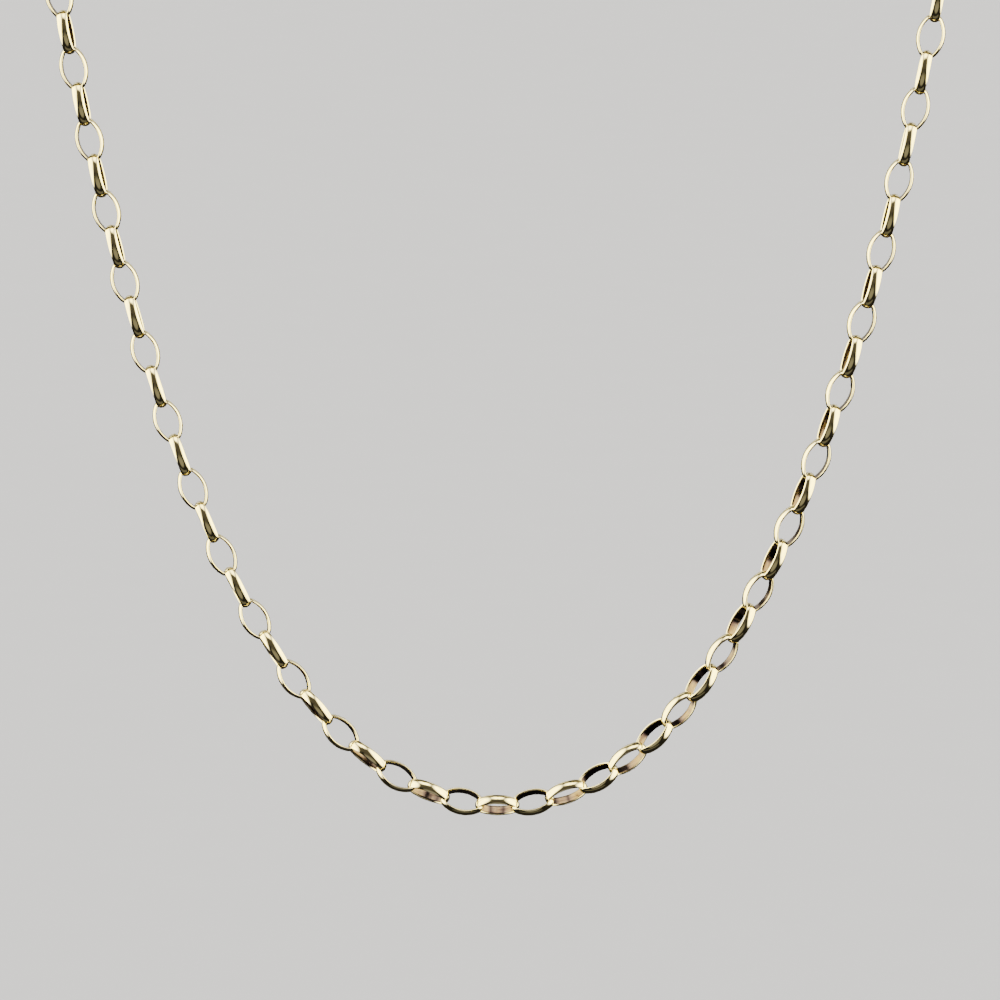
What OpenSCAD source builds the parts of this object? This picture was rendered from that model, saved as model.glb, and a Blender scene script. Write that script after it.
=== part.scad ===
// A fine oval chain necklace, closed by a plain ring clasp. Millimetres, +Z up.
// The origin is the nape, where the clasp sits and the whole chain hangs on.
// The front hangs in an upright plane towards -Y and its lowest link is turned to the viewer.

/* [Chain] */
// Length of the closed chain with its clasp, reached to the nearest pair of links
chain_length = 457; // [440:1:480]
// Sharpness of the hanging curve: its radius at the lowest link
hang_radius = 22.45; // [22:0.05:25]
// Room between the strips of two links where they hang on each other
link_gap = 0.22; // [0.21:0.01:0.3]
// How much closer the links sit where the chain turns as sharply as at the lowest link
bend_slack = 0.14; // [0.13:0.01:0.16]

/* [Link] */
// Length of a link over its outer ends
link_length = 5.5; // [5.3:0.05:5.6]
// Width of a link over its outer sides
link_width = 3.5; // [3.4:0.05:3.6]
// Width of the flat strip that a link is bent from
strip_width = 1.3; // [1.15:0.05:1.35]
// Thickness of the strip at its crown
strip_thickness = 0.3; // [0.28:0.01:0.33]
// Height of the strip's outer crown over its edges
crown_height = 0.1; // [0.09:0.01:0.12]

/* [Neck] */
// Height over the lowest link at which the chain leaves the front plane
front_height = 107; // [105:1:112]
// Radius of the turn from the front plane back to the neck
shoulder_radius = 24; // [24:1:30]
// Rise of the neck ring towards the nape, degrees
neck_tilt = 25; // [15:1:35]

/* [Clasp] */
// Outer diameter of the clasp ring
clasp_diameter = 6.5; // [6:0.1:7.5]
// Wire of the clasp ring
clasp_wire = 1.1; // [1:0.05:1.2]
// Inner diameter of the eye that is soldered to the clasp ring
eye_bore = 2.5; // [2.4:0.05:2.8]
// Wire of the eye
eye_wire = 0.7; // [0.6:0.05:0.8]

/* [Hidden] */
$fn = 48;
gold = [0.80, 0.68, 0.42];

// the strip: flat half widths inside and on the crown, and what the inner edges are eased by
inner_flat = 0.25;
edge_thickness = 0.05;
edge_relief = strip_thickness - crown_height - edge_thickness;
edge_half = strip_width / 2;
crown_flat = edge_half * 0.36;

// the oval: two side arcs of half angle side_angle and two end arcs that run a lap into them
side_angle = 35;
end_lap = 4;
end_wear = 0.015;
half_length = link_length / 2;
half_width = link_width / 2;
arc_gap = (half_length - half_width) / (sin(side_angle) + cos(side_angle) - 1);
end_radius = half_length - arc_gap * sin(side_angle);
side_radius = end_radius + arc_gap;

// the clasp and what it takes of the chain's length
clasp_room = 0.16;
ring_radius = (clasp_diameter - clasp_wire) / 2;
eye_radius = (eye_bore + eye_wire) / 2;
solder_depth = 0.1;
inner_end = half_length - strip_thickness;
link_to_ring = inner_end - clasp_room - clasp_wire / 2 + ring_radius;
ring_to_eye = ring_radius + clasp_wire / 2 + eye_radius - solder_depth;
eye_to_link = eye_bore / 2 - 1.6 * clasp_room + inner_end;
clasp_span = link_to_ring + ring_to_eye + eye_to_link;

// two links cross inside their rounded ends, where the strip's edges rise nearest to each other
inner_radius = end_radius - strip_thickness;
function end_rise(h) = inner_radius - sqrt(inner_radius * inner_radius - h * h);
link_play = 2 * max(end_rise(edge_half) - edge_relief, end_rise(inner_flat)) + link_gap;

// the links on each side of the lowest one
link_pitch = link_length - 2 * strip_thickness - link_play;
side_links = round((chain_length - clasp_span) / (2 * link_pitch - bend_slack));

// how sharply the chain turns at a distance from the lowest link, 1 at the lowest link
fold_turn = hang_radius / shoulder_radius;
fold_start = front_height - 2 * link_pitch;
fold_end = front_height + shoulder_radius * PI / 2 + link_pitch;
function sharpness(s) =
  let (free = hang_radius * hang_radius / (hang_radius * hang_radius + s * s))
  let (rise = sqrt(hang_radius * hang_radius + s * s) - hang_radius)
  rise > fold_start && rise < fold_end ? max(free, min(1, fold_turn)) : free;

// distances of the links from the lowest one, along the chain
link_spots = [
  for (k = 0, s = 0; k <= side_links; k = k + 1, s = s + link_pitch - bend_slack * sharpness(s))
    s
];
half_loop = link_spots[side_links] + clasp_span / 2;

// the flat loop: a hanging curve closed by an arc round the neck, solved for its half width
function hang_arc(x) = let (e = exp(x / hang_radius)) hang_radius * (e - 1 / e) / 2;
function hang_rise(x) = let (e = exp(x / hang_radius)) hang_radius * ((e + 1 / e) / 2 - 1);
function lean(x) = atan(hang_arc(x) / hang_radius);
function loop_from(x) = hang_arc(x) + x / sin(lean(x)) * (180 - lean(x)) * PI / 180;
function solve(lo, hi, n) =
  let (mid = (lo + hi) / 2)
  n == 0 ? mid : loop_from(mid) < half_loop ? solve(mid, hi, n - 1) : solve(lo, mid, n - 1);
meet_x = solve(hang_radius, 4 * hang_radius, 40);
meet_s = hang_arc(meet_x);
meet_lean = lean(meet_x);
neck_radius = meet_x / sin(meet_lean);
neck_centre = hang_rise(meet_x) + neck_radius * cos(meet_lean);

// place on the flat loop: [sideways, up the sheet, direction]
function flat_place(s) =
  let (side = s < 0 ? -1 : 1)
  let (q = abs(s))
  let (p = q / hang_radius)
  let (turn = meet_lean + (q - meet_s) / neck_radius * 180 / PI)
  q <= meet_s
    ? [side * hang_radius * ln(p + sqrt(p * p + 1)), hang_radius * (sqrt(p * p + 1) - 1), side * atan(p)]
    : [side * neck_radius * sin(turn), neck_centre - neck_radius * cos(turn), side * turn];

// the sheet is folded back over the shoulders: [back, up, fold so far]
fold_angle = 90 - neck_tilt;
fold_length = shoulder_radius * fold_angle * PI / 180;
function fold(v) =
  let (f = min(max((v - front_height) / shoulder_radius * 180 / PI, 0), fold_angle))
  let (over = max(v - front_height - fold_length, 0))
  [
    shoulder_radius * (1 - cos(f)) + over * sin(f),
    min(v, front_height) + shoulder_radius * sin(f) + over * cos(f),
    f
  ];
nape = fold(neck_centre + neck_radius);

// where a distance along the chain lies, and the directions there
function spot(s) = let (p = flat_place(s)) let (y = fold(p[1])) [p[0], y[0] - nape[0], y[1] - nape[1]];
function along(s) =
  let (p = flat_place(s))
  let (f = fold(p[1])[2])
  [cos(p[2]), sin(p[2]) * sin(f), sin(p[2]) * cos(f)];
function off_sheet(s) = let (f = fold(flat_place(s)[1])[2]) [0, -cos(f), sin(f)];
function outwards(s) = cross(off_sheet(s), along(s)) * -1;

// turn of the links about the chain: [distance from the lowest link in hang radii, degrees]
turns = [
  [-6.5, 0], [-5.3, -4], [-4, -0.5], [-2.8, 7.5], [-1.6, 14], [-0.8, 26], [0, 40],
  [0.8, 50], [1.6, 63], [2.2, 71.5], [2.8, 76.5], [4, 82], [5.3, 92], [6.5, 90]
];
function turn_at(k) = lookup(link_place(k) / hang_radius, turns) + (k % 2 == 0 ? 90 : 0);
function link_place(k) = sign(k) * link_spots[abs(k)];

// moves a child to a distance along the chain, its X along the chain and its Z turned round it
module put(s, turn) {
  x = along(s);
  z = off_sheet(s) * cos(turn) - outwards(s) * sin(turn);
  y = cross(z, x);
  o = spot(s);
  multmatrix([
    [x[0], y[0], z[0], o[0]],
    [x[1], y[1], z[1], o[1]],
    [x[2], y[2], z[2], o[2]],
    [0, 0, 0, 1]
  ])
    children();
}

// section of the strip with the flat of its crown at a distance from the arc's centre
module strip(distance, wear) {
  h = edge_half - wear;
  inside = distance - strip_thickness;
  polygon([
    [inside + edge_relief, h],
    [distance - crown_height - wear, h],
    [distance - wear, crown_flat],
    [distance - wear, -crown_flat],
    [distance - crown_height - wear, -h],
    [inside + edge_relief, -h],
    [inside + wear, -inner_flat],
    [inside + wear, inner_flat]
  ]);
}

// one of a link's four arcs: 0 and 1 are the ends, 2 and 3 the sides
module link_arc(i) {
  is_end = i < 2;
  half = is_end ? 90 - side_angle + end_lap : side_angle;
  rotate(180 * i + (is_end ? 0 : 90))
    translate([is_end ? arc_gap * sin(side_angle) : -arc_gap * cos(side_angle), 0, 0])
      rotate_extrude(angle = 2 * half, start = -half)
        strip(is_end ? end_radius : side_radius, is_end ? end_wear : 0);
}

module link() {
  for (i = [0:3]) link_arc(i);
}

module links(first, last) {
  for (k = [first:last]) put(link_place(k), turn_at(k)) link();
}

module chain_left() {
  color(gold) links(-side_links, 0);
}

module chain_right() {
  color(gold) links(1, side_links);
}

// ring of round wire about the local Y axis
module wire_ring(radius, wire) {
  rotate([90, 0, 0]) rotate_extrude() translate([radius, 0]) circle(wire / 2);
}

// the ring and its eye each stand across the end link that they pass through
module clasp() {
  ring_at = link_spots[side_links] + link_to_ring;
  ring_turn = side_links % 2 == 0 ? 0 : 90;
  color(gold) {
    put(ring_at, ring_turn) wire_ring(ring_radius, clasp_wire);
    put(ring_at + ring_to_eye, ring_turn + 90) wire_ring(eye_radius, eye_wire);
  }
}

chain_left();
chain_right();
clasp();
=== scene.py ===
import math

import bmesh
import bpy
from mathutils import Matrix, Vector


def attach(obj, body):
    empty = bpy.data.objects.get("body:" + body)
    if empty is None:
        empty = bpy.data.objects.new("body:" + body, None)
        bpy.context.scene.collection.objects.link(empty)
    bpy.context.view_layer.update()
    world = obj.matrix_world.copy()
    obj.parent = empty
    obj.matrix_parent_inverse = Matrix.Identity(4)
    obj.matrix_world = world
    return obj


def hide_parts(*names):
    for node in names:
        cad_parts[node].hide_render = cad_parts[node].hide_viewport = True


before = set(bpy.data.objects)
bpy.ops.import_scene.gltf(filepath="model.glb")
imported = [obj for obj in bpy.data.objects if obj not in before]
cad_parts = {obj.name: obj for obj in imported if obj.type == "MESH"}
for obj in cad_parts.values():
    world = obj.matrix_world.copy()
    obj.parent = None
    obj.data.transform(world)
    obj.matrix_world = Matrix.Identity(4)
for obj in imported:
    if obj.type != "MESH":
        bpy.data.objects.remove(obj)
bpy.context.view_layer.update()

bl_info = {
    "name": "Oval chain necklace",
    "version": (1, 0, 0),
    "blender": (4, 5, 0),
    "location": "3D View > Sidebar > Necklace",
    "description": "A fine chain of oval links with a ring clasp, hung as it is worn",
    "category": "Object",
}

MM = 0.001
FULL_TURN = 2 * math.pi
BODY = "root"
STRIP_UV = "strip"  # U runs along a link's strip, V round its section
LINK_LOT = "link_lot"  # a number from 0 to 1 that each link draws for itself
WHITE, BLACK = (1, 1, 1, 1), (0, 0, 0, 1)


# sizes and colours


def length(name, description, millimetres):
    """A length property that is written in millimetres here and kept in metres."""
    return bpy.props.FloatProperty(
        name=name, description=description, default=millimetres * MM, unit="LENGTH", precision=6
    )


def point(name, description, *millimetres):
    """A place that is written in millimetres here and kept in metres."""
    return bpy.props.FloatVectorProperty(
        name=name, description=description, default=[x * MM for x in millimetres], size=3, unit="LENGTH"
    )


def angle(name, description, degrees):
    """An angle property that is written in degrees here."""
    return bpy.props.FloatProperty(
        name=name, description=description, default=math.radians(degrees), unit="ROTATION"
    )


def share(name, description, default):
    """A property from 0 to 1."""
    return bpy.props.FloatProperty(
        name=name, description=description, default=default, min=0, max=1, subtype="FACTOR"
    )


def strength(name, description, default):
    """A property for the brightness of a light."""
    return bpy.props.FloatProperty(name=name, description=description, default=default, min=0)


def count(name, description, default, least):
    """A whole number."""
    return bpy.props.IntProperty(name=name, description=description, default=default, min=least)


def colour(name, description, *default):
    """A colour property in linear light."""
    return bpy.props.FloatVectorProperty(
        name=name, description=description, default=default, size=3, min=0, max=1, subtype="COLOR"
    )


class ChainSizes(bpy.types.PropertyGroup):
    """The course of the chain and the sizes of its links."""

    side_links: count("Links a side", "Links on each side of the lowest one", 50, 1)
    hang_radius: length("Hang radius", "Radius of the hanging curve at its lowest link", 22.45)
    link_pitch: length("Pitch", "Distance from link to link where the chain runs straight", 4.49313)
    bend_slack: length("Bend slack", "How much closer the links sit at the lowest link", 0.14)
    front_height: length("Front height", "Height at which the chain leaves the front plane", 107)
    shoulder_radius: length("Shoulder radius", "Radius of the turn back to the neck", 24)
    neck_tilt: angle("Neck tilt", "Rise of the neck ring towards the nape", 25)
    link_length: length("Link length", "Length of a link over its ends", 5.5)
    link_width: length("Link width", "Width of a link over its sides", 3.5)
    strip_width: length("Strip width", "Width of the strip that a link is bent from", 1.3)
    strip_thickness: length("Strip thickness", "Thickness of the strip at its crown", 0.44)
    seat_thickness: length("Seat thickness", "Strip thickness that sets the clasp's place", 0.3)
    crown_height: length("Crown", "Height of the strip's crown over its edges", 0.23)
    side_angle: angle("Side angle", "Half angle of a link's two side arcs", 35)
    tip_narrowing: share("Tip narrowing", "How much narrower the strip is at a link's two ends", 0.14)
    twist: angle("Twist", "How far a link may be turned from its place in the row", 1.2)
    round_steps: count("Steps round a link", "Faces round a link", 56, 8)
    strip_steps: count("Steps round the strip", "Faces round the strip's section", 28, 8)
    seed: count("Seed", "Seed of what differs from link to link", 7, 0)


class ClaspSizes(bpy.types.PropertyGroup):
    """The ring that closes the chain and the eye on it."""

    ring_diameter: length("Ring diameter", "Outer diameter of the ring", 6.5)
    ring_wire: length("Ring wire", "Wire of the ring", 1.1)
    eye_bore: length("Eye bore", "Inner diameter of the eye", 2.5)
    eye_wire: length("Eye wire", "Wire of the eye", 0.7)
    ring_room: length("Ring room", "Room between the ring and the link that passes through it", 0.16)
    eye_room: length("Eye room", "Room between the eye and the link that passes through it", 0.256)
    solder_depth: length("Solder depth", "How far the eye is let into the ring", 0.1)
    solder_radius: length("Solder radius", "Radius of the solder between the ring and the eye", 0.3)
    solder_flare: length("Solder flare", "How much wider the solder is where it meets them", 0.12)
    solder_lap: length("Solder lap", "How far the solder runs into the ring and over the eye", 0.22)


class GoldFinish(bpy.types.PropertyGroup):
    """Colours and wear of the gold, with a painted highlight on the rounded edges and painted shade
    inside the links.
    """

    polished: colour("Polished gold", "Colour of the polished outer faces", 0.86, 0.765, 0.45)
    # a painted highlight: a paler, brighter gold on the strip's rounded edges, where they catch the
    # light
    rim_highlight: colour("Rim", "Colour of the strip's bright rounded edges", 0.93, 0.84, 0.62)
    # painted shade: a dark rose-tinted gold that the inner faces get inside the links; the clasp has
    # random clouds of it
    rosy_and_shade: colour("Rosy gold", "Colour of the drawn inner faces", 0.085, 0.053, 0.078)
    draw_lines: colour("Draw lines", "Colour of the lines along the inner faces", 0.06, 0.035, 0.045)
    tarnish: colour("Tarnish", "Colour of the clouds on the inner faces", 0.035, 0.02, 0.025)
    # painted shade inside the link ends, where the links hang on each other
    contact_shade: colour("Rubbed ends", "Colour inside the ends, where links rub", 0.07, 0.05, 0.03)
    solder: colour("Solder", "Colour of the seam where a link is closed", 0.16, 0.10, 0.08)
    shine: share("Roughness", "Roughness of the polished faces", 0.07)
    drawn: share("Inner roughness", "Roughness of the drawn inner faces", 0.10)


class StageSizes(bpy.types.PropertyGroup):
    """Floor, lights and camera."""

    floor_height: length("Floor height", "Height of the floor under the chain", -230)
    floor_reach: length("Floor reach", "How far the floor runs to each side", 15000)
    floor_colour: colour("Floor", "Colour of the floor", 0.62, 0.61, 0.59)
    floor_light: strength("Floor light", "Brightness of the wide sun over the floor", 6.2)
    floor_light_spread: angle("Floor light spread", "Angle that the wide sun fills", 60)
    light_strength: strength("Tent brightness", "Brightness of the white tent", 12.5)
    light_tint: colour("Tent tint", "Colour of the tent's light", 1.0, 0.95, 0.74)
    core_tint: colour("Core tint", "Tint of the tent's light where it is brightest", 1.0, 0.94, 0.32)
    room_low: colour("Dark room", "Colour of the room at eye level and below", 0.02, 0.019, 0.017)
    room_high: colour("Ceiling", "Colour of the room overhead", 0.10, 0.09, 0.07)
    lens: bpy.props.FloatProperty(
        name="Lens", description="Focal length on a 36 mm sensor", default=271.2, unit="CAMERA"
    )
    camera_place: point("Camera place", "Where the camera stands", 46.2, -963.4, 37.3)
    camera_pitch: angle("Camera pitch", "How far the camera looks down", 9.05)
    camera_yaw: angle("Camera yaw", "How far the camera looks to the right", -2.88)


# node trees


class Wire:
    """A socket that gives a value. Arithmetic on it adds Math nodes to its tree."""

    def __init__(self, net, socket):
        self.net, self.socket = net, socket

    def __add__(self, other):
        return self.net.math("ADD", self, other)

    def __radd__(self, other):
        return self.net.math("ADD", other, self)

    def __sub__(self, other):
        return self.net.math("SUBTRACT", self, other)

    def __rsub__(self, other):
        return self.net.math("SUBTRACT", other, self)

    def __mul__(self, other):
        return self.net.math("MULTIPLY", self, other)

    def __rmul__(self, other):
        return self.net.math("MULTIPLY", other, self)

    def __truediv__(self, other):
        return self.net.math("DIVIDE", self, other)

    def __rtruediv__(self, other):
        return self.net.math("DIVIDE", other, self)

    def __pow__(self, other):
        return self.net.math("POWER", self, other)

    def __gt__(self, other):
        return self.net.math("GREATER_THAN", self, other)

    def __abs__(self):
        return self.net.math("ABSOLUTE", self)

    def __neg__(self):
        return self.net.math("MULTIPLY", self, -1.0)


class Net:
    """Adds nodes to one tree."""

    def __init__(self, tree):
        self.tree = tree
        tree.nodes.clear()

    @staticmethod
    def pick(sockets, key):
        """The socket at an index, or the one in use that has that name."""
        if isinstance(key, int):
            return sockets[key]
        return next(s for s in sockets if s.enabled and s.name == key)

    def node(self, kind, sockets=None, **settings):
        """A node of that type: its settings first, then the values or links of its sockets."""
        made = self.tree.nodes.new(kind)
        for name, value in settings.items():
            setattr(made, name, value)
        for key, value in (sockets or {}).items():
            socket = self.pick(made.inputs, key)
            if isinstance(value, Wire):
                self.tree.links.new(value.socket, socket)
            else:
                socket.default_value = value
        return made

    def wire(self, kind, sockets=None, out=0, **settings):
        """The output of a new node."""
        made = self.node(kind, sockets, **settings)
        return Wire(self, self.pick(made.outputs, out))

    def math(self, operation, *values):
        """The result of a Math node."""
        return self.wire("ShaderNodeMath", dict(enumerate(values)), operation=operation)

    def choose(self, test, when_true, when_false):
        """when_true where test is 1 and when_false where it is 0."""
        return when_false + test * (when_true - when_false)

    def ease(self, value, low, high):
        """A smooth step from 0 at low to 1 at high."""
        return self.wire(
            "ShaderNodeMapRange",
            {"Value": value, "From Min": low, "From Max": high},
            out="Result",
            interpolation_type="SMOOTHSTEP",
        )

    def vector(self, x, y, z):
        """A vector of three components."""
        return self.wire("ShaderNodeCombineXYZ", {0: x, 1: y, 2: z})

    def split(self, vector):
        """The three components of a vector."""
        made = self.node("ShaderNodeSeparateXYZ", {0: vector})
        return [Wire(self, made.outputs[i]) for i in range(3)]

    def dot(self, first, second):
        """The dot product of two vectors."""
        sockets = {0: first, 1: second}
        return self.wire("ShaderNodeVectorMath", sockets, out="Value", operation="DOT_PRODUCT")

    def minus(self, first, second):
        """The difference of two vectors."""
        return self.wire("ShaderNodeVectorMath", {0: first, 1: second}, operation="SUBTRACT")

    def mix(self, first, second, factor):
        """first where factor is 0 and second where it is 1, as colours."""
        return self.wire("ShaderNodeMix", {0: factor, 6: first, 7: second}, out=2, data_type="RGBA")

    def noise(self, vector, scale, detail=2.0, roughness=0.5):
        """Soft noise from 0 to 1."""
        return self.wire(
            "ShaderNodeTexNoise",
            {"Vector": vector, "Scale": scale, "Detail": detail, "Roughness": roughness},
        )


def new_material(name):
    """A material and the net of its nodes."""
    material = bpy.data.materials.new(name)
    material.use_nodes = True
    return material, Net(material.node_tree)


def new_object(name, data):
    """An object in the scene that holds this mesh, light or camera."""
    made = bpy.data.objects.new(name, data)
    bpy.context.scene.collection.objects.link(made)
    return made


def axes_at(centre, x, y, z):
    """The matrix of three axes at a place."""
    return Matrix.Translation(centre) @ Matrix((x, y, z)).transposed().to_4x4()


# course of the chain

# turn of the links about the chain: (distance from the lowest link in hang radii, degrees)
TURNS = (
    (-6.5, 0), (-5.3, -4), (-4, -0.5), (-2.8, 7.5), (-1.6, 14), (-0.8, 26), (0, 40),
    (0.8, 50), (1.6, 63), (2.2, 71.5), (2.8, 76.5), (4, 82), (5.3, 92), (6.5, 90),
)
WIDEST_CURVE = 4  # half width of the hanging curve in hang radii, at the most
HALVINGS = 50  # how often the range of half widths is halved to find the one that closes the loop


def between(table, x):
    """The value at x of a table of (x, value), straight between its rows and level beyond them."""
    if x <= table[0][0]:
        return table[0][1]
    for (x0, y0), (x1, y1) in zip(table, table[1:]):
        if x <= x1:
            return y0 + (y1 - y0) * (x - x0) / (x1 - x0)
    return table[-1][1]


class Course:
    """The line of the chain, by distance along it from the lowest link.

    It is a flat loop, a hanging curve closed by an arc, whose sheet is folded back over the shoulders.
    """

    def __init__(self, chain, clasp):
        self.radius = chain.hang_radius
        self.front, self.shoulder = chain.front_height, chain.shoulder_radius
        self.fold_angle = math.pi / 2 - chain.neck_tilt
        self.fold_length = self.shoulder * self.fold_angle

        # what the clasp takes of the loop
        inner_end = chain.link_length / 2 - chain.seat_thickness
        self.ring_radius = (clasp.ring_diameter - clasp.ring_wire) / 2
        self.eye_radius = (clasp.eye_bore + clasp.eye_wire) / 2
        self.link_to_ring = inner_end - clasp.ring_room - clasp.ring_wire / 2 + self.ring_radius
        self.ring_to_eye = self.ring_radius + clasp.ring_wire / 2 + self.eye_radius - clasp.solder_depth
        eye_to_link = clasp.eye_bore / 2 - clasp.eye_room + inner_end

        # the loop, closed over the links and the clasp
        self.spots = self.link_spots(chain)
        half = self.spots[-1] + (self.link_to_ring + self.ring_to_eye + eye_to_link) / 2
        meet_x = self.curve_end(half)
        self.meet = self.radius * math.sinh(meet_x / self.radius)
        self.lean = math.atan(self.meet / self.radius)
        self.neck_radius = meet_x / math.sin(self.lean)
        rise = self.radius * (math.cosh(meet_x / self.radius) - 1)
        self.neck_centre = rise + self.neck_radius * math.cos(self.lean)
        self.nape = self.fold(self.neck_centre + self.neck_radius)

    def link_spots(self, chain):
        """Distances of the links on one side, closer where the chain bends."""
        start = self.front - 2 * chain.link_pitch
        end = self.front + self.shoulder * math.pi / 2 + chain.link_pitch
        spots = [0.0]
        for _ in range(chain.side_links):
            s = spots[-1]
            sharp = self.radius**2 / (self.radius**2 + s * s)  # 1 at the lowest link, less beyond it
            if start < math.hypot(self.radius, s) - self.radius < end:
                sharp = max(sharp, min(1, self.radius / self.shoulder))
            spots.append(s + chain.link_pitch - chain.bend_slack * sharp)
        return spots

    def curve_end(self, half):
        """How far sideways the hanging curve ends, so that half the loop has this length."""
        low, high = self.radius, WIDEST_CURVE * self.radius
        for _ in range(HALVINGS):
            middle = (low + high) / 2
            if self.loop_from(middle) < half:
                low = middle
            else:
                high = middle
        return low

    def loop_from(self, x):
        """Half the loop's length if the hanging curve ends at x."""
        arc = self.radius * math.sinh(x / self.radius)
        lean = math.atan(arc / self.radius)
        return arc + x / math.sin(lean) * (math.pi - lean)

    def flat(self, s):
        """Sideways, up the sheet and direction at a distance."""
        side, q = math.copysign(1, s), abs(s)
        if q <= self.meet:
            p = q / self.radius
            sideways, up = self.radius * math.asinh(p), self.radius * (math.hypot(p, 1) - 1)
            turn = math.atan(p)
        else:
            turn = self.lean + (q - self.meet) / self.neck_radius
            sideways = self.neck_radius * math.sin(turn)
            up = self.neck_centre - self.neck_radius * math.cos(turn)
        return side * sideways, up, side * turn

    def fold(self, v):
        """Back, up and fold so far at a height on the sheet."""
        f = min(max((v - self.front) / self.shoulder, 0), self.fold_angle)
        over = max(v - self.front - self.fold_length, 0)
        back = self.shoulder * (1 - math.cos(f)) + over * math.sin(f)
        return back, min(v, self.front) + self.shoulder * math.sin(f) + over * math.cos(f), f

    def place(self, s, turn):
        """The matrix at a distance: X along the chain, Z turned from the sheet's face by degrees."""
        u, v, lean = self.flat(s)
        back, up, f = self.fold(v)
        along = Vector((math.cos(lean), math.sin(lean) * math.sin(f), math.sin(lean) * math.cos(f)))
        off_sheet = Vector((0, -math.cos(f), math.sin(f)))
        outwards = -off_sheet.cross(along)
        t = math.radians(turn)
        z = off_sheet * math.cos(t) - outwards * math.sin(t)
        spot = Vector((u, back - self.nape[0], up - self.nape[1]))
        return axes_at(spot, along, z.cross(along), z)

    def link(self, k):
        """The matrix of a link, counted from the lowest one. Every second link stands across."""
        s = math.copysign(self.spots[abs(k)], k)
        return self.place(s, between(TURNS, s / self.radius) + (90 if k % 2 == 0 else 0))


# gold

# noise on a link: how far it runs along the strip and across it, what a link's lot shifts it by,
# scale, detail and roughness
DRAW_LINES = (6.0, 34.0, 40.0, 1.0, 4.0, 0.6)
CLOUDS = (9.0, 1.5, 17.0, 1.0, 3.0, 0.5)
HAIRS = (22.0, 5.0, 31.0, 3.0, 5.0, 0.7)
SWELLS = 900.0  # soft dents to the metre
BUMP_DEPTH = 2.2e-6  # metres

# where a mark starts and where it is full
INNER_FACE = (0.45, 0.68)  # from 0 at the strip's edges to 1 in the middle of its inside
RIM_HIGHLIGHT = (0.7, 0.85)  # painted highlight on the rounded edges: from 0 in the middle of the strip to 1 at its edges
LINES_FROM, CLOUDS_FROM = (0.42, 0.62), (0.42, 0.68)  # on their noise

# where a mark is still full and where it is gone
UNDER_CROWN = (-0.1, 0.35)  # from -1 in the middle of the strip's inside to 1 on its crown
CONTACT_SHADE_REACH = (0.04, 0.10)  # share of the way round the link, from its ends, of the painted shade where the links hang on each other
SEAM_REACH = (0.003, 0.010)  # share of the way round the link, from the seam's middle

# how ragged the marks are and how far a seam is off the middle of its side, as such shares
CONTACT_SHADE_RAGGED, SEAM_RAGGED, SEAM_OFF = 0.04, 0.02, 0.03
SEAM_INSIDE, SEAM_OUTSIDE = 0.94, 0.04  # how strong the seam is inside a link and on its outside
INNER_SHADE_LEAST = 0.85  # how much of the dark rose-tinted painted shade the inner faces get where the clouds' noise is lowest

# how much each mark counts in the colour, the roughness and the bump
IN_COLOUR = {"rim_highlight": 0.8, "lines": 0.6, "clouds": 0.6, "contact_shade": 0.9, "seam": 0.5}
IN_ROUGHNESS = {"lines": 0.12, "hairs": 0.10, "clouds": 0.03, "seam": 0.25}
IN_BUMP = {"lines": 0.9, "hairs": 0.08, "seam": 0.6}

# the same for the clasp's wire: scales of its noise to the metre, where its rosy clouds start and are
# full, and how much they and the hairs count
WIRE_HAIRS, WIRE_CLOUDS, WIRE_SWELLS = 9000.0, 1600.0, 700.0
WIRE_CLOUDS_FROM = (0.5, 0.75)
WIRE_ROSY = 0.35
WIRE_ROUGHNESS = {"hairs": 0.10, "clouds": 0.05}
WIRE_HAIRS_BUMP = 0.1
WIRE_BUMP_DEPTH = 2.5e-6  # metres


def close_metal(net, tone, rough, height, depth):
    """The end of a metal's nodes: a shader with a bump of that depth, and the output."""
    bump = net.wire(
        "ShaderNodeBump", {"Strength": 1.0, "Distance": depth, "Height": height}, out="Normal"
    )
    shader = net.wire(
        "ShaderNodeBsdfPrincipled",
        {"Base Color": tone, "Metallic": 1.0, "Roughness": rough, "Normal": bump},
        out="BSDF",
    )
    net.node("ShaderNodeOutputMaterial", {"Surface": shader})


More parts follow.
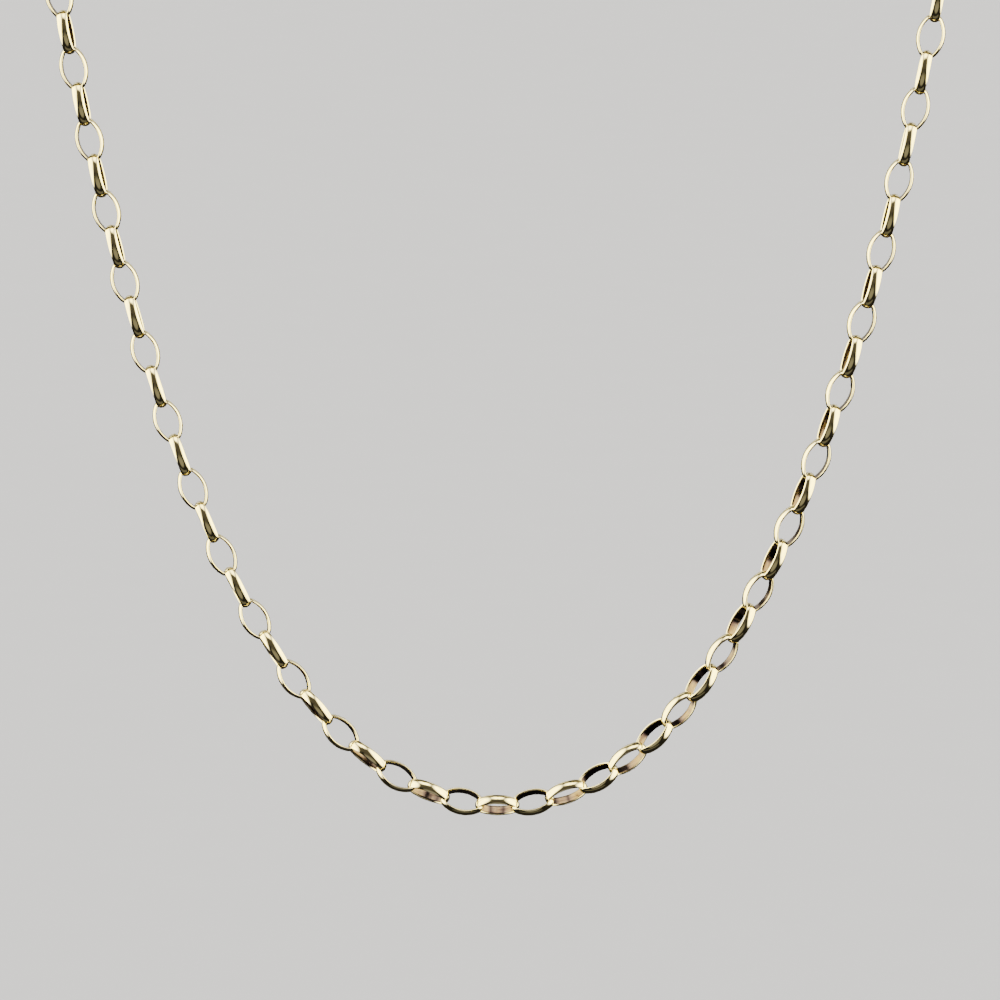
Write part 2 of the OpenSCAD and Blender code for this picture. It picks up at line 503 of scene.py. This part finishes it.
def link_gold(finish):
    """Polished pale gold with drawn inner faces in a dark rose-tinted painted shade, a painted
    highlight on the rounded edges, painted shade inside the ends and a solder seam.
    """
    material, net = new_material("link_gold")
    place = net.wire("ShaderNodeTexCoord", out="Object")
    run, turn, _ = net.split(net.wire("ShaderNodeUVMap", uv_map=STRIP_UV))
    lot = net.wire("ShaderNodeAttribute", out="Fac", attribute_name=LINK_LOT)
    seam_lot, solder_lot = net.math("FRACT", lot * 7.3), net.math("FRACT", lot * 13.7)

    # where a point is on its link
    facing = net.math("COSINE", turn * FULL_TURN)  # 1 on the crown and -1 on the inner face
    across = net.math("SINE", turn * FULL_TURN)  # -1 and 1 at the two edges
    inner = net.ease(-facing, *INNER_FACE)
    # painted highlight on the strip's rounded edges
    rim_highlight = net.ease(abs(across), *RIM_HIGHLIGHT)
    off_tip = 0.25 - abs(abs(run - 0.5) - 0.25)  # 0 at the link's two ends and 0.25 at its sides

    # what drawing and soldering left on it, and painted shade inside the ends, where the links hang on
    # each other
    lines, clouds, hairs = (
        net.noise(net.vector(run * lengthwise, across * over, lot * shift), scale, detail, roughness)
        for lengthwise, over, shift, scale, detail, roughness in (DRAW_LINES, CLOUDS, HAIRS)
    )
    # painted shade inside the link ends, away from the crown, with a ragged edge
    contact_shade = 1 - net.ease(off_tip + (clouds - 0.5) * CONTACT_SHADE_RAGGED, *CONTACT_SHADE_REACH)
    seam_at = 0.25 + 0.5 * (lot > 0.5) + SEAM_OFF * (seam_lot - 0.5)  # on one side or the other
    off_seam = abs(run - seam_at) + (lines - 0.5) * SEAM_RAGGED
    seam = (1 - net.ease(off_seam, *SEAM_REACH)) * net.choose(inner, SEAM_INSIDE, SEAM_OUTSIDE)
    seam = seam * solder_lot

    # painted shade inside the links: the inner faces get the dark rose-tinted colour, a little more
    # where the clouds' noise is high
    rosy_and_shade = inner * (INNER_SHADE_LEAST + (1 - INNER_SHADE_LEAST) * clouds)
    tone = net.mix((*finish.polished, 1), (*finish.rosy_and_shade, 1), rosy_and_shade)
    # the colour of the rounded edges is a painted highlight and the colour inside the ends a painted
    # shade; the rest are marks on the gold
    marks = (
        (finish.rim_highlight, rim_highlight * IN_COLOUR["rim_highlight"]),
        (finish.draw_lines, inner * net.ease(lines, *LINES_FROM) * IN_COLOUR["lines"]),
        (finish.tarnish, inner * net.ease(clouds, *CLOUDS_FROM) * IN_COLOUR["clouds"]),
        (finish.contact_shade, (1 - net.ease(facing, *UNDER_CROWN)) * contact_shade * IN_COLOUR["contact_shade"]),
        (finish.solder, seam * IN_COLOUR["seam"]),
    )
    for stain, amount in marks:
        tone = net.mix(tone, (*stain, 1), amount)

    inner_rough = finish.drawn + IN_ROUGHNESS["lines"] * (lines - 0.5)
    outer_rough = finish.shine + IN_ROUGHNESS["hairs"] * (hairs - 0.5)
    rough = net.choose(inner, inner_rough, outer_rough)
    rough = rough + IN_ROUGHNESS["seam"] * seam + IN_ROUGHNESS["clouds"] * clouds
    height = net.noise(place, SWELLS, detail=1.0) + lines * inner * IN_BUMP["lines"]
    height = height + hairs * IN_BUMP["hairs"] + seam * IN_BUMP["seam"]
    close_metal(net, tone, rough, height, BUMP_DEPTH)
    return material


def clasp_gold(finish):
    """Polished pale gold with fine wear, for round wire."""
    material, net = new_material("clasp_gold")
    place = net.wire("ShaderNodeTexCoord", out="Object")
    hairs = net.noise(place, WIRE_HAIRS, detail=5.0, roughness=0.7)
    clouds = net.noise(place, WIRE_CLOUDS, detail=3.0)
    rosy_and_shade = net.ease(clouds, *WIRE_CLOUDS_FROM) * WIRE_ROSY
    tone = net.mix((*finish.polished, 1), (*finish.rosy_and_shade, 1), rosy_and_shade)
    rough = finish.shine + WIRE_ROUGHNESS["hairs"] * hairs + WIRE_ROUGHNESS["clouds"] * clouds
    height = net.noise(place, WIRE_SWELLS, detail=1.0) + hairs * WIRE_HAIRS_BUMP
    close_metal(net, tone, rough, height, WIRE_BUMP_DEPTH)
    return material


# links

LINK_FLOATS = (
    "link_length", "link_width", "strip_width", "strip_thickness", "crown_height",
    "side_angle", "twist", "tip_narrowing",
)
LINK_COUNTS = ("round_steps", "strip_steps", "seed")
FLAT_SHARE = 0.7  # share of the strip's width between its rounded edges
EDGE_SHARE = 0.2  # how deep in the strip its edges are farthest out, from the crown
CROWN_POWER = 2.2  # how flat the crown is on top: 2 is a plain arch
TIP_POWER = 4  # how short the narrow ends of a link are
TIP_THINNING = 0.5  # thickness that the strip loses at its ends, against the width that it loses
WELD = 1e-6  # metres within which the edges of the sheet are joined


def oval_arc(net, size, c, s):
    """Centre and radius of the arc that a point is on, from the cosine and sine of its direction."""
    sin_a, cos_a = net.math("SINE", size["side_angle"]), net.math("COSINE", size["side_angle"])
    half_length, half_width = size["link_length"] * 0.5, size["link_width"] * 0.5
    arc_gap = (half_length - half_width) / (sin_a + cos_a - 1)
    end_radius = half_length - arc_gap * sin_a
    at_end = abs(c) > sin_a
    centre_x = at_end * net.math("SIGN", c) * arc_gap * sin_a
    centre_y = (at_end - 1) * net.math("SIGN", s) * arc_gap * cos_a
    return centre_x, centre_y, end_radius + (1 - at_end) * arc_gap


def strip_section(net, size, tip, phi):
    """How far in from the oval a point of the strip's section is, and how far over the oval's plane.

    The strip is crowned outside and flat inside, with rounded edges. tip is the share of its width
    that it loses.
    """
    half = size["strip_width"] * 0.5 * (1 - tip)
    z = net.math("SINE", phi)
    outer = size["crown_height"] * abs(z) ** CROWN_POWER  # how far in the crown is
    inner = size["strip_thickness"] * (1 - TIP_THINNING * tip)  # how far in the flat inside is
    past_flat = net.math("MAXIMUM", abs(z) - FLAT_SHARE, 0.0) / (1 - FLAT_SHARE)
    rounding = 1 - net.math("SQRT", 1 - past_flat * past_flat)
    outside = net.math("COSINE", phi) > 0
    depth = net.choose(outside, EDGE_SHARE * rounding, 1 - (1 - EDGE_SHARE) * rounding)
    return outer + (inner - outer) * depth, half * z


def stored(net, geometry, name, value, data_type, domain):
    """The geometry with a value kept on it under a name."""
    return net.wire(
        "GeometryNodeStoreNamedAttribute",
        {"Geometry": geometry, "Name": name, "Value": value},
        data_type=data_type,
        domain=domain,
    )


def one_link(net, size):
    """An oval link of crowned strip, from a sheet whose two pairs of edges are joined."""
    counts = {"Vertices X": size["round_steps"] + 1, "Vertices Y": size["strip_steps"] + 1}
    sheet = net.node("GeometryNodeMeshGrid", {"Size X": 1.0, "Size Y": 1.0, **counts})
    mesh, uv = Wire(net, sheet.outputs["Mesh"]), Wire(net, sheet.outputs["UV Map"])
    u, v, _ = net.split(net.wire("GeometryNodeInputPosition"))
    theta, phi = (u + 0.5) * FULL_TURN, (v + 0.5) * FULL_TURN
    c, s = net.math("COSINE", theta), net.math("SINE", theta)
    centre_x, centre_y, radius = oval_arc(net, size, c, s)
    tip = size["tip_narrowing"] * (c * c) ** TIP_POWER
    inset, z = strip_section(net, size, tip, phi)
    reach = radius - inset
    spot = net.vector(centre_x + reach * c, centre_y + reach * s, z)
    mesh = net.wire("GeometryNodeSetPosition", {"Geometry": mesh, "Position": spot})
    mesh = stored(net, mesh, STRIP_UV, uv, "FLOAT2", "CORNER")
    return net.wire("GeometryNodeMergeByDistance", {"Geometry": mesh, "Distance": WELD})


def point_axis(net, name):
    """An axis of the link that the course's points carry under a name."""
    return net.wire(
        "GeometryNodeInputNamedAttribute", {"Name": name}, out="Attribute", data_type="FLOAT_VECTOR"
    )


def drawn_number(net, low, high, index, seed):
    """A number that each link draws for itself."""
    return net.wire(
        "FunctionNodeRandomValue",
        {"Min": low, "Max": high, "ID": index, "Seed": seed},
        out="Value",
        data_type="FLOAT",
    )


def link_row(net, size, link):
    """A link on every point, turned as the point says and a little more, with a lot of its own."""
    index = net.wire("GeometryNodeInputIndex")
    stand = net.wire(
        "FunctionNodeAxesToRotation",
        {"Primary Axis": point_axis(net, "along"), "Secondary Axis": point_axis(net, "hole_axis")},
        primary_axis="X",
        secondary_axis="Z",
    )
    extra = drawn_number(net, -1.0, 1.0, index, size["seed"]) * size["twist"]
    twist = net.wire("FunctionNodeAxisAngleToRotation", {"Axis": (1, 0, 0), "Angle": extra})
    turned = net.wire(
        "FunctionNodeRotateRotation", {"Rotation": stand, "Rotate By": twist}, rotation_space="LOCAL"
    )
    sockets = {"Points": size["Geometry"], "Instance": link, "Rotation": turned}
    row = net.wire("GeometryNodeInstanceOnPoints", sockets)
    lot = drawn_number(net, 0.0, 1.0, index, size["seed"] + 1)
    row = stored(net, row, LINK_LOT, lot, "FLOAT", "INSTANCE")
    row = net.wire("GeometryNodeRealizeInstances", {"Geometry": row})
    row = net.wire("GeometryNodeSetShadeSmooth", {"Geometry": row, "Shade Smooth": True})
    return net.wire("GeometryNodeSetMaterial", {"Geometry": row, "Material": size["material"]})


def link_tree():
    """Geometry nodes that put an oval link on every point of a course."""
    tree = bpy.data.node_groups.new("oval_links", "GeometryNodeTree")
    inputs = (
        ("Geometry", "NodeSocketGeometry"),
        *((name, "NodeSocketFloat") for name in LINK_FLOATS),
        *((name, "NodeSocketInt") for name in LINK_COUNTS),
        ("material", "NodeSocketMaterial"),
    )
    for name, kind in inputs:
        tree.interface.new_socket(name, in_out="INPUT", socket_type=kind)
    tree.interface.new_socket("Geometry", in_out="OUTPUT", socket_type="NodeSocketGeometry")
    net = Net(tree)
    given = net.node("NodeGroupInput")
    size = {s.name: Wire(net, s) for s in given.outputs if s.name}
    net.node("NodeGroupOutput", {"Geometry": link_row(net, size, one_link(net, size))})
    return tree


def course_points(name, course, numbers):
    """A mesh of one point for each link, with the link's two axes on it."""
    mesh = bpy.data.meshes.new(name)
    places = [course.link(k) for k in numbers]
    mesh.from_pydata([m.translation for m in places], [], [])
    for attribute, column in (("along", 0), ("hole_axis", 2)):
        values = mesh.attributes.new(attribute, "FLOAT_VECTOR", "POINT").data
        for value, m in zip(values, places):
            value.vector = m.col[column].xyz
    return new_object(name, mesh)


def bake(piece):
    """Turns the piece with its modifiers into a plain mesh."""
    graph = bpy.context.evaluated_depsgraph_get()
    mesh = bpy.data.meshes.new_from_object(piece.evaluated_get(graph), depsgraph=graph)
    mesh.name = piece.name
    old = piece.data
    piece.modifiers.clear()
    piece.data = mesh
    bpy.data.meshes.remove(old)


def half_chain(name, node, course, numbers, chain, tree, material):
    """The links of one half, as one piece that stands for its CAD node."""
    piece = course_points(name, course, numbers)
    modifier = piece.modifiers.new("links", "NODES")
    modifier.node_group = tree
    sockets = {s.name: s.identifier for s in tree.interface.items_tree if s.in_out == "INPUT"}
    for key in (*LINK_FLOATS, *LINK_COUNTS):
        modifier[sockets[key]] = getattr(chain, key)
    modifier[sockets["material"]] = material
    bake(piece)
    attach(piece, BODY)
    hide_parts(node)
    return piece


# clasp

RING_STEPS, EYE_STEPS = 96, 64  # faces round the ring and round the eye
WIRE_STEPS = 24  # faces round their wire
SOLDER_LEVELS, SOLDER_STEPS = 9, 32  # rows of points along the solder, and faces round it


def add_tube(mesh, uv, rows, closed):
    """Faces between rows of points round a tube, whose last row meets the first if it is closed."""
    steps = len(rows[0])
    for i in range(len(rows) if closed else len(rows) - 1):
        i1 = (i + 1) % len(rows)
        for j in range(steps):
            j1 = (j + 1) % steps
            face = mesh.faces.new((rows[i][j], rows[i][j1], rows[i1][j1], rows[i1][j]))
            corners = ((i, j), (i, j + 1), (i + 1, j + 1), (i + 1, j))
            for loop, (p, q) in zip(face.loops, corners):
                loop[uv].uv = (p / len(rows), q / steps)


def add_ring(mesh, uv, matrix, radius, wire, steps):
    """A closed ring of round wire in the matrix's XZ plane."""
    rows = []
    for i in range(steps):
        a = FULL_TURN * i / steps
        row = []
        for j in range(WIRE_STEPS):
            b = FULL_TURN * j / WIRE_STEPS
            reach = radius + wire / 2 * math.cos(b)
            spot = Vector((reach * math.cos(a), wire / 2 * math.sin(b), reach * math.sin(a)))
            row.append(mesh.verts.new(matrix @ spot))
        rows.append(row)
    add_tube(mesh, uv, rows, closed=True)


def add_solder(mesh, uv, matrix, start, end, waist, flare):
    """A waisted collar of solder along the matrix's X axis."""
    rows = []
    for i in range(SOLDER_LEVELS):
        t = i / (SOLDER_LEVELS - 1)
        x, radius = start + (end - start) * t, waist + flare * (2 * t - 1) ** 2
        row = []
        for j in range(SOLDER_STEPS):
            b = FULL_TURN * j / SOLDER_STEPS
            spot = Vector((x, radius * math.cos(b), radius * math.sin(b)))
            row.append(mesh.verts.new(matrix @ spot))
        rows.append(row)
    add_tube(mesh, uv, rows, closed=False)
    mesh.faces.new(rows[0][::-1])
    mesh.faces.new(rows[-1])


# stage

SENSOR_WIDTH = 36.0  # millimetres
CLIP_NEAR, CLIP_FAR = 0.01, 100.0  # metres
GRAIN_SCALE = 60.0  # grains of the floor's paper to the metre
GRAIN_TONE = 0.97  # how dark the grain is against the paper
PAPER_ROUGHNESS = 0.9
ROOM_FADE = (0.0, 0.3)  # from eye level to the ceiling, in the height of a direction

# two slanted sheets that meet over the chain, in metres: the middle of the tent, and from there the
# front end of the ridge and the front end of the left sheet's foot
TENT_MIDDLE = Vector((0, -0.05, -0.07))
TENT_RIDGE = Vector((0, -1.35, 1.10))
TENT_FOOT = Vector((-1.05, -0.45, -1.12))
TENT_DEPTH = 2.6

# bright cores of a sheet: share of the way down, depth in metres, half widths of both, brightness
SHEET_CORES = (
    (0.62, 0.80, 0.30, 0.7, 1.0),
    (0.05, 0.95, 0.30, 0.5, 0.85),
    (0.45, 2.10, 0.20, 0.5, 0.3),
)
CORE_FADE = (0.2, 1.3)  # where a core fades, in its half widths squared
CORE_CONTRAST = 1.7
CLOTH_LEAST = 0.02  # brightness between the cores, before the contrast
FOLD_SCALE = 4.0  # folds of the cloth to the metre
FOLD_LEAST, FOLD_GAIN = 0.15, 1.5  # light of a fold's hollow, and what its top has more

# cards round the tent: name, place, direction of the height, width, height, brightness against the
# sheets, and whether the card is oval and fades to its edge
CARDS = (
    ("card_front", (0, -1.25, -0.85), (0, 0, 1), 1.3, 1.90, 0.026, True),
    ("card_below", (0, -0.50, -1.27), (0, 1, 0), 1.5, 0.32, 0.012, False),
    ("card_back", (0, 0.70, -1.00), (0, 1, 1), 3.0, 0.45, 0.004, False),
    ("card_behind", (0, 1.60, 0.50), (0, 0, 1), 2.4, 1.60, 0.060, False),
)
CARD_FADE = (0.05, 0.75)  # where an oval card fades, in metres squared from its middle
CARD_DARK = 0.8  # how much of its light is gone at its edge


def paper_floor(stage):
    """A wide floor of pale paper."""
    r, z = stage.floor_reach, stage.floor_height
    data = bpy.data.meshes.new("floor")
    data.from_pydata([(-r, -r, z), (r, -r, z), (r, r, z), (-r, r, z)], [], [(0, 1, 2, 3)])
    material, net = new_material("floor_paper")
    grain = net.noise(net.wire("ShaderNodeTexCoord", out="Object"), GRAIN_SCALE, detail=4.0)
    darker = [GRAIN_TONE * x for x in stage.floor_colour]
    shader = net.wire(
        "ShaderNodeBsdfPrincipled",
        {
            "Base Color": net.mix((*stage.floor_colour, 1), (*darker, 1), grain),
            "Roughness": PAPER_ROUGHNESS,
            "Specular IOR Level": 0.0,
        },
        out="BSDF",
    )
    net.node("ShaderNodeOutputMaterial", {"Surface": shader})
    data.materials.append(material)
    floor = new_object("floor", data)
    floor.visible_glossy = False


def panel_light(name, centre, side, up, width, height, brightness, tint, oval=False, pattern=None):
    """A soft panel with its width along side, its height along up and its back to the outside.

    pattern gives, from a net and a place on the panel, the colour that its light is multiplied by.
    """
    data = bpy.data.lights.new(name, "AREA")
    data.shape, data.size, data.size_y = "ELLIPSE" if oval else "RECTANGLE", width, height
    area = width * height * (math.pi / 4 if oval else 1)
    data.energy, data.color = brightness * area * math.pi, tint
    if pattern:
        data.use_nodes = True
        net = Net(data.node_tree)
        tone = pattern(net, net.wire("ShaderNodeNewGeometry", out="Position"))
        lamp = net.wire("ShaderNodeEmission", {"Color": tone}, out="Emission")
        net.node("ShaderNodeOutputLight", {"Surface": lamp})
    x = Vector(side).normalized()
    y = (Vector(up) - Vector(up).dot(x) * x).normalized()
    if x.cross(y).dot(centre) < 0:  # a light shines against its Z axis, which points outside here
        x = -x
    light = new_object(name, data)
    light.matrix_world = axes_at(centre, x, y, x.cross(y))
    light.visible_camera = light.visible_diffuse = False


def folded_cloth(corner, down, inwards, core_tint):
    """The pattern of a sheet's light: bright cores on cloth in soft folds.

    They are measured from the sheet's upper front corner, down its edge and inwards along the ridge.
    """

    def pattern(net, place):
        off = net.minus(place, corner)
        fall, in_depth = net.dot(off, down) / down.length_squared, net.dot(off, inwards)
        folds = net.noise(place, FOLD_SCALE, detail=2.0)
        light = CLOTH_LEAST
        for x, y, half_x, half_y, most in SHEET_CORES:
            off_core = ((fall - x) / half_x) ** 2 + ((in_depth - y) / half_y) ** 2
            light = net.math("MAXIMUM", light, most * (1 - net.ease(off_core, *CORE_FADE)))
        light = light**CORE_CONTRAST * (FOLD_LEAST + FOLD_GAIN * folds)
        return net.mix(BLACK, net.mix(WHITE, (*core_tint, 1), light), light)

    return pattern


def fading_card(centre):
    """The pattern of a card's light, brightest in the card's middle."""

    def pattern(net, place):
        off = net.minus(place, centre)
        return net.mix(WHITE, BLACK, CARD_DARK * net.ease(net.dot(off, off), *CARD_FADE))

    return pattern


def tent(stage):
    """The two sheets of light, open to the front."""
    edge = TENT_FOOT - TENT_RIDGE
    back = Vector((0, -edge.z, edge.y)).normalized()
    for name, side in (("sheet_left", 1), ("sheet_right", -1)):
        flip = Vector((side, 1, 1))
        down, inwards = edge * flip, back * flip
        panel_light(
            name,
            TENT_MIDDLE + (TENT_RIDGE + edge / 2 + back * TENT_DEPTH / 2) * flip,
            inwards,
            down,
            TENT_DEPTH,
            edge.length,
            stage.light_strength,
            stage.light_tint,
            pattern=folded_cloth(TENT_MIDDLE + TENT_RIDGE, down, inwards, stage.core_tint),
        )


def cards(stage):
    """The dim cards round the tent."""
    for name, centre, up, width, height, part, oval in CARDS:
        pattern = fading_card(centre) if oval else None
        brightness = stage.light_strength * part
        tint = stage.light_tint
        panel_light(name, centre, (1, 0, 0), up, width, height, brightness, tint, oval, pattern)


def floor_light(stage):
    """A wide sun that lights the floor and leaves no reflection in the gold."""
    data = bpy.data.lights.new("floor_light", "SUN")
    data.energy, data.angle = stage.floor_light, stage.floor_light_spread
    new_object("floor_light", data).visible_glossy = False


def dark_room(stage):
    """A dark world that is a little brighter overhead."""
    world = bpy.data.worlds.new("studio")
    world.use_nodes = True
    net = Net(world.node_tree)
    _, _, up = net.split(net.wire("ShaderNodeTexCoord", out="Generated"))
    tone = net.mix((*stage.room_low, 1), (*stage.room_high, 1), net.ease(up, *ROOM_FADE))
    sky = net.wire("ShaderNodeBackground", {"Color": tone, "Strength": 1.0})
    net.node("ShaderNodeOutputWorld", {"Surface": sky})
    bpy.context.scene.world = world


def main_camera(stage):
    """The camera, at the viewing angle of the photograph."""
    data = bpy.data.cameras.new("camera")
    data.lens, data.sensor_width = stage.lens, SENSOR_WIDTH
    data.clip_start, data.clip_end = CLIP_NEAR, CLIP_FAR
    pitch, yaw = stage.camera_pitch, stage.camera_yaw
    look = Vector((math.sin(yaw) * math.cos(pitch), math.cos(yaw) * math.cos(pitch), -math.sin(pitch)))
    camera = new_object("camera", data)
    camera.location = stage.camera_place
    camera.rotation_euler = look.to_track_quat("-Z", "Y").to_euler()
    bpy.context.scene.camera = camera


# operators


def settings():
    """The four groups of sizes and colours."""
    scene = bpy.context.scene
    return scene.chain_sizes, scene.clasp_sizes, scene.gold_finish, scene.stage_sizes


class NECKLACE_OT_stage(bpy.types.Operator):
    """Make the floor, the soft lights and the camera"""

    bl_idname = "necklace.stage"
    bl_label = "Stage"

    def execute(self, context):
        *_, stage = settings()
        for make in (paper_floor, tent, cards, floor_light, dark_room, main_camera):
            make(stage)
        return {"FINISHED"}


class NECKLACE_OT_chain(bpy.types.Operator):
    """Make the two halves of the chain"""

    bl_idname = "necklace.chain"
    bl_label = "Chain"

    def execute(self, context):
        chain, clasp, finish, _ = settings()
        course = Course(chain, clasp)
        tree, material = link_tree(), link_gold(finish)
        halves = (
            ("links_left", "chain_left", range(-chain.side_links, 1)),
            ("links_right", "chain_right", range(1, chain.side_links + 1)),
        )
        for name, node, numbers in halves:
            piece = half_chain(name, node, course, numbers, chain, tree, material)
            if not piece.data.polygons:
                raise RuntimeError("the links of " + name + " are missing")
        bpy.data.node_groups.remove(tree)
        return {"FINISHED"}


class NECKLACE_OT_clasp(bpy.types.Operator):
    """Make the clasp ring and its eye"""

    bl_idname = "necklace.clasp"
    bl_label = "Clasp"

    def execute(self, context):
        chain, clasp, finish, _ = settings()
        course = Course(chain, clasp)
        ring_at = course.spots[-1] + course.link_to_ring
        ring_turn = 0 if chain.side_links % 2 == 0 else 90
        ring = course.place(ring_at, ring_turn)
        eye = course.place(ring_at + course.ring_to_eye, ring_turn + 90)
        mesh = bmesh.new()
        uv = mesh.loops.layers.uv.new(STRIP_UV)
        add_ring(mesh, uv, ring, course.ring_radius, clasp.ring_wire, RING_STEPS)
        add_ring(mesh, uv, eye, course.eye_radius, clasp.eye_wire, EYE_STEPS)
        outer, lap = course.ring_radius + clasp.ring_wire / 2, clasp.solder_lap
        add_solder(mesh, uv, ring, outer - lap, outer + lap, clasp.solder_radius, clasp.solder_flare)
        bmesh.ops.recalc_face_normals(mesh, faces=mesh.faces)
        data = bpy.data.meshes.new("clasp_ring")
        mesh.to_mesh(data)
        mesh.free()
        data.shade_smooth()
        data.materials.append(clasp_gold(finish))
        piece = new_object("clasp_ring", data)
        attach(piece, BODY)
        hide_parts("clasp")
        return {"FINISHED"}


class NECKLACE_PT_panel(bpy.types.Panel):
    """Lists the parts of the necklace"""

    bl_idname = "NECKLACE_PT_panel"
    bl_label = "Necklace"
    bl_space_type = "VIEW_3D"
    bl_region_type = "UI"
    bl_category = "Necklace"

    def draw(self, context):
        for operator in OPERATORS:
            self.layout.operator(operator.bl_idname)
        for group in settings():
            box = self.layout.box()
            for name in group.__annotations__:
                box.prop(group, name)


OPERATORS = (NECKLACE_OT_stage, NECKLACE_OT_chain, NECKLACE_OT_clasp)
GROUPS = {
    "chain_sizes": ChainSizes,
    "clasp_sizes": ClaspSizes,
    "gold_finish": GoldFinish,
    "stage_sizes": StageSizes,
}


def register():
    """Adds the groups of sizes, the operators and the panel."""
    for cls in (*GROUPS.values(), *OPERATORS, NECKLACE_PT_panel):
        bpy.utils.register_class(cls)
    for name, cls in GROUPS.items():
        setattr(bpy.types.Scene, name, bpy.props.PointerProperty(type=cls))


def unregister():
    """Takes them out again."""
    for name in GROUPS:
        delattr(bpy.types.Scene, name)
    for cls in reversed((*GROUPS.values(), *OPERATORS, NECKLACE_PT_panel)):
        bpy.utils.unregister_class(cls)


def main():
    """Makes the stage and the pieces."""
    register()
    bpy.ops.necklace.stage()
    bpy.ops.necklace.chain()
    bpy.ops.necklace.clasp()


if __name__ == "__main__":
    main()
